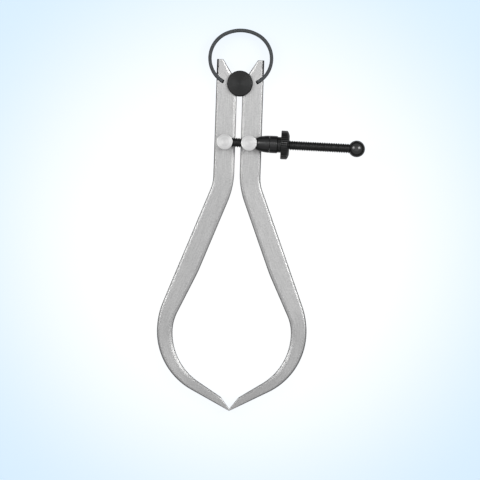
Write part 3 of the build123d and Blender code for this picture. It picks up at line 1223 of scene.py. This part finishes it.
    def build_nut(self) -> bpy.types.Object:
        """Turn the nut and cut the straight knurl into its flange.

        A knurl groove is a V of the groove's depth, so a rim point at a distance x from the groove's middle
        moves in by depth (1 - x/half width), and by nothing past it.

        Returns:
            The nut.
        """
        profile = self.nut_profile()
        along = profile.stations()
        points = profile.points(along)[:-1]
        tooth = 2 * np.pi / self.knurl_count
        groove = self.knurl_half_width / self.flange_radius
        places = np.array([-groove, -0.5 * groove, 0.0, 0.5 * groove, groove, tooth / 2])
        angles = (np.arange(self.knurl_count)[:, None] * tooth + places[None]).ravel()
        from_middle = np.abs(places) * self.flange_radius / self.knurl_half_width
        bite = np.tile(np.clip(1 - from_middle, 0, None), self.knurl_count) * self.knurl_depth
        floor = self.flange_radius - self.knurl_depth - self.knurl_run_out / 2
        on_rim = np.clip((points[:, 1:] - floor) / self.knurl_run_out, 0, 1)
        radii = points[:, 1:] - on_rim * bite[None]
        grain = ring_grain(angles, along, self.flange_radius)
        rings = self.axis.rings(points[:, 0], radii, angles)
        nut = mesh_from_rings("adjusting_nut_knurled", rings, Ends.LOOPED, grain)
        return self.settle(nut, "adjusting_nut", "nut", self.oxide)


@dataclass
class SwivelStud:
    """A turned stud that swivels in its leg, with its riveted head and the washer behind the leg."""

    side: Side
    place: tuple[float, float]
    body: str
    finish: bpy.types.Material
    washer_finish: bpy.types.Material
    screw: ScrewSet
    post_base: float
    post_edge: float = 0.14
    shank_radius: float = 2.4
    shank_play: float = 0.05
    head_radius: float = 3.1
    head_height: float = 0.65
    head_edge: float = 0.3
    face_ring: float = 0.42
    face_ripple: float = 0.012
    face_rings: int = 60
    pip_radius: float = 0.2
    corner: float = 0.08
    spot_face_play: float = 0.3
    washer_radius: float = 3.6
    washer_edge: float = 0.1

    def profile(self, base: float, top: float) -> RoundedPath:
        """Section of the stud from its riveted head to its face.

        Args:
            base: Height of the riveted head's back.
            top: Height of the face.

        Returns:
            The path of height and radius.
        """
        return RoundedPath((
            (base, self.pip_radius, 0),
            (base, self.head_radius, self.head_edge),
            (base + self.head_height, self.head_radius, self.corner),
            (base + self.head_height, self.shank_radius, self.corner),
            (self.post_base, self.shank_radius, self.corner),
            (self.post_base, self.screw.post_radius, self.corner),
            (top, self.screw.post_radius, self.post_edge),
            (top, self.pip_radius, 0),
        ))

    def build(self) -> bpy.types.Object:
        """Turn the stud, bore its cross hole and put it on its body.

        The face carries fine turned rings: its height falls by ripple (1 - cos(2 pi r / ring)) / 2.

        Returns:
            The stud.
        """
        name = f"{self.side.name.lower()}_stud"
        base, top = heights(name)
        profile = self.profile(base, top)
        length = profile.length()
        face = np.linspace(length - self.screw.post_radius + self.post_edge, length, self.face_rings)
        along = np.union1d(profile.stations(), face)
        points = profile.points(along)
        on_face = points[:, 0] > top - 1e-6
        ripple = self.face_ripple * (1 - np.cos(2 * np.pi * points[:, 1] / self.face_ring)) / 2
        points[:, 0] -= np.where(on_face, ripple, 0)
        angles = turn_angles(ROUND_POINTS)
        rings = upright_axis(*self.place).rings(points[:, 0], points[:, 1], angles)
        grain = ring_grain(angles, along, self.screw.post_radius)
        stud = mesh_from_rings(f"{name}_turned", rings, Ends.CAPPED, grain)
        stud.data.materials.append(self.finish)
        cut_away(stud, self.cutters())
        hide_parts(name)
        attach(stud, self.body)
        return stud

    def cutters(self) -> list[bpy.types.Object]:
        """Solids of the cross hole and, on the right stud, of the flat that the collar bears on.

        Returns:
            The solids.
        """
        screw = self.screw
        clear = screw.post_radius + 1
        if self.side is Side.LEFT:
            return [screw.axis.drill(-screw.screw_tail - screw.hole_end_play, clear, screw.fixed_bore_radius)]
        near, far = screw.stud_spacing - clear, screw.stud_spacing + clear
        flat = screw.stud_spacing + screw.post_radius - screw.spot_face_depth
        bore = screw.axis.drill(near, far, screw.bore_radius)
        return [bore, screw.axis.drill(flat, far, screw.nose_radius + self.spot_face_play)]

    def build_washer(self) -> bpy.types.Object:
        """Make the washer behind the leg and put it on the stud's body.

        Returns:
            The washer.
        """
        name = f"{self.side.name.lower()}_stud_washer"
        base, top = heights(name)
        outline = tuple((height, self.washer_radius, self.washer_edge) for height in (base, top))
        hole = self.shank_radius + self.shank_play
        profile = bored_profile(base, top, hole, outline, self.washer_edge / 2)
        washer = upright_axis(*self.place).turned(f"{name}_stamped", profile, Ends.LOOPED)
        washer.data.materials.append(self.washer_finish)
        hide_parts(name)
        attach(washer, self.body)
        return washer


@dataclass(frozen=True)
class Softbox:
    """A square soft light, placed from the middle of the picture, in millimetres."""

    name: str
    place: tuple[float, float, float]
    size: float
    glow: float  # light that leaves each square metre in each direction

    def hang(self, aim: np.ndarray) -> None:
        """Hang the light and turn it to the aim.

        A light of area A that glows evenly by L gives pi A L watts.

        Args:
            aim: The middle of the picture, in metres.
        """
        lamp = bpy.data.lights.new(self.name, "AREA")
        lamp.shape, lamp.size = "SQUARE", self.size * MM
        lamp.energy = math.pi * (self.size * MM) ** 2 * self.glow
        box = link_object(self.name, lamp)
        box.location = aim + np.array(self.place) * MM
        box.rotation_euler = (box.location - Vector(aim)).to_track_quat("Z", "Y").to_euler()
        box.visible_camera = False


@dataclass
class Studio:
    """The pale floor, the soft lights and the camera above it."""

    floor_middle: str = "FFFFFF"
    floor_edge: str = "D0E6FA"
    floor_sheet: str = "5A5E62"
    floor_size: float = 8.0  # metres
    floor_drop: float = 0.02
    floor_glow: float = 0.97  # light that comes up through the sheet, so that shadows stay faint
    floor_fade: tuple[float, float] = (45.0, 165.0)  # distances over which the floor's colour fades
    aim: tuple[float, float, float] = (2.49, -74.2, 5.55)  # middle of the picture, in millimetres
    roll: float = 1.9  # degrees that the caliper is turned clockwise in the picture
    lens: float = 400.0
    sensor: float = 36.0
    picture_width: float = 227.7  # at the front of the legs
    room_colour: str = "FDFDFF"
    room_glow: float = 0.42
    horizon_glow: float = 0.02  # of the dark curtains round the table
    horizon: tuple[float, float] = (-0.05, 0.3)  # upright share of a direction, over which the room brightens
    table_glow: float = 0.4  # of the table itself, as the pieces' sides mirror it
    table_rim: tuple[float, float] = (-0.6, -0.25)  # upright share over which the table gives way to them
    lights: tuple[Softbox, ...] = (
        Softbox("left_softbox", (-596, 265, 620), 380, 4.7),
        Softbox("right_softbox", (538, 269, 670), 380, 5.9),
        Softbox("overhead_softbox", (0, 40, 1500), 1800, 0.34),
    )

    def build_floor(self) -> None:
        """Lay the floor under the caliper. Gloss on the pieces doesn't mirror it, as on a dark table."""
        half = self.floor_size / 2
        corners = np.array([(-half, -half), (half, -half), (half, half), (-half, half)])
        mesh = bpy.data.meshes.new("floor")
        mesh.from_pydata([(x, y, -self.floor_drop * MM) for x, y in corners], [], [(0, 1, 2, 3)])
        mesh.materials.append(self.floor_material())
        floor = link_object("floor", mesh)
        floor.visible_glossy = False

    def floor_material(self) -> bpy.types.Material:
        """Opal acrylic sheet lit from below: white in the middle, pale blue further out, faint shadows.

        Returns:
            The material.
        """
        made = bpy.data.materials.new("opal acrylic light table")
        tree = empty_tree(made)
        place = add_node(tree, "ShaderNodeTexCoord", output="Object")
        centre = (-self.aim[0] * MM, -self.aim[1] * MM, 0)
        centred = add_node(tree, "ShaderNodeMapping", {"Vector": place, "Location": centre})
        away = add_node(tree, "ShaderNodeVectorMath", {0: centred}, "Value", operation="LENGTH")
        near, far = (reach * MM for reach in self.floor_fade)
        fade = {"Value": away, "From Min": near, "From Max": far}
        share = add_node(tree, "ShaderNodeMapRange", fade, interpolation_type="SMOOTHSTEP")
        tones = {0: share, 6: linear(self.floor_middle), 7: linear(self.floor_edge)}
        sheet = {
            "Base Color": linear(self.floor_sheet),
            "Roughness": 0.9,
            "Specular IOR Level": 0.1,
            "Emission Color": add_node(tree, "ShaderNodeMix", tones, 2, data_type="RGBA"),
            "Emission Strength": self.floor_glow,
        }
        surface = add_node(tree, "ShaderNodeBsdfPrincipled", sheet)
        add_node(tree, "ShaderNodeOutputMaterial", {"Surface": surface})
        return made

    def light_room(self) -> None:
        """Light the room softly from above, dark round the horizon, with a pale table below."""
        world = bpy.data.worlds.new("soft room")
        tree = empty_tree(world)
        direction = add_node(tree, "ShaderNodeTexCoord", output="Generated")
        upright = add_node(tree, "ShaderNodeSeparateXYZ", {0: direction}, "Z")
        above = (self.horizon, self.horizon_glow, self.room_glow)
        below = (self.table_rim, self.table_glow, self.horizon_glow)
        glows = {}
        for number, ((low, high), under, over) in enumerate((above, below)):
            steps = {"Value": upright, "From Min": low, "From Max": high, "To Min": under, "To Max": over}
            glows[number] = add_node(tree, "ShaderNodeMapRange", steps)
        glow = add_node(tree, "ShaderNodeMath", glows, operation="MAXIMUM")
        room = add_node(tree, "ShaderNodeBackground", {"Color": linear(self.room_colour), "Strength": glow})
        add_node(tree, "ShaderNodeOutputWorld", {"Surface": room})
        bpy.context.scene.world = world

    def build_camera(self) -> None:
        """Hang the camera straight above, rolled as the photograph is."""
        data = bpy.data.cameras.new("camera")
        data.lens, data.sensor_width = self.lens, self.sensor
        data.clip_start, data.clip_end = 0.05, 20.0
        camera = link_object("camera", data)
        distance = self.picture_width * self.lens / self.sensor
        camera.location = (self.aim[0] * MM, self.aim[1] * MM, (self.aim[2] + distance) * MM)
        camera.rotation_euler = (0, 0, math.radians(self.roll))
        bpy.context.scene.camera = camera
        bpy.context.scene.view_settings.view_transform = "Standard"

    def build(self) -> None:
        """Set up the floor, the lights, the room and the camera."""
        self.build_floor()
        for light in self.lights:
            light.hang(np.array(self.aim) * MM)
        self.light_room()
        self.build_camera()


def joint_place(name: str) -> np.ndarray:
    """Pivot of a joint in millimetres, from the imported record."""
    joint = next(joint for joint in frame["joints"] if joint["name"] == name)
    return np.array(joint["pos_m"]) / MM


def main() -> None:
    """Build the caliper piece by piece, and the studio round it."""
    logging.basicConfig(level=logging.INFO, format="%(name)s: %(message)s")
    left, right = joint_place("left_stud_swivel"), joint_place("right_stud_swivel")
    spin = next(joint for joint in frame["joints"] if joint["name"] == "nut_spin")
    axis = TurningAxis((left[0], left[1], spin["pos_m"][2] / MM), tuple(spin["axis"]))
    spacing = float(np.hypot(*(right - left)[:2]))

    # Carbon steel, belt ground lengthwise: a satin grey with fine streaks, duller on the rolled edges
    ground = GroundSteel("ground carbon steel", "8F8F8F", "E1E1E0", 0.3, 0.5, across=0.65).material()
    # Nearly black and matt: painted shade on the band's ends where they sit in the slots, and the painted
    # reflection and shade of the black band on the tangs' outer edges
    scale = BlackOxide("painted black shade and band reflection", "060606", "141515", 0.5, 0.65, 0.0).material()
    # Turned steel, left bright: near white, with the lathe's rings showing on its faces
    bright = TurnedMetal("bright turned steel", "D6D6D5", "FDFDFC", 0.24, 0.36, across=0.6).material()
    # Turned steel, blackened and oiled: matt to satin, with the lathe's rings just showing
    oxide = BlackOxide("black oxide on turned steel", "040505", "111212", 0.25, 0.36, 0, 1.65, 0.8).material()
    # The same skin on a face cut dead flat: duller, so the spool stays an even black
    faced = BlackOxide("black oxide on faced steel", "080909", "1B1C1C", 0.4, 0.5, 0.0, across=0.5).material()
    # The same skin over a polished ball: deeper and glossier, so it shows the lights
    polish = BlackOxide(
        "black oxide on polished steel", "050505", "101111", 0.2, 0.24, 0.0, 1.85, ring_depth=0, pit_depth=0
    )
    # Tempered band steel, blued dark: its flat shows a cold grey sheen between edges that go black
    blued = BlackOxide("blackened spring steel", "4C4F51", "66696B", 0.6, 0.72, scratches=0.0).material()
    # Zinc on stamped steel: a light grey with small spangles, on the washers behind the legs
    zinc = ZincPlate("zinc plate on stamped steel", "8F9296", "C4C7CA", 0.3, 0.45).material()

    spring = BowSpring(blued, scale)
    screw = ScrewSet(axis, spacing, oxide, polish.material())
    right_leg = CaliperLeg(Side.RIGHT, ground, scale, tuple(right[:2]))
    left_leg = CaliperLeg(Side.LEFT, ground, scale, tuple(left[:2]))
    pieces = [right_leg.build(spring), left_leg.build(spring), *spring.build(), FulcrumSpool(faced).build()]
    post_base = heights("right_leg")[1] + screw.play
    for side, place, body in ((Side.LEFT, left, "screw_and_stud"), (Side.RIGHT, right, "collar_and_stud")):
        stud = SwivelStud(side, tuple(place[:2]), body, bright, zinc, screw, post_base)
        pieces += [stud.build(), stud.build_washer()]
    pieces += [screw.build_screw(), screw.build_ball(), screw.build_collar(), screw.build_nut()]
    for piece in pieces:
        piece.data.calc_loop_triangles()
        log.info("%s: %d triangles", piece.name, len(piece.data.loop_triangles))

    Studio().build()


if __name__ == "__main__":
    main()
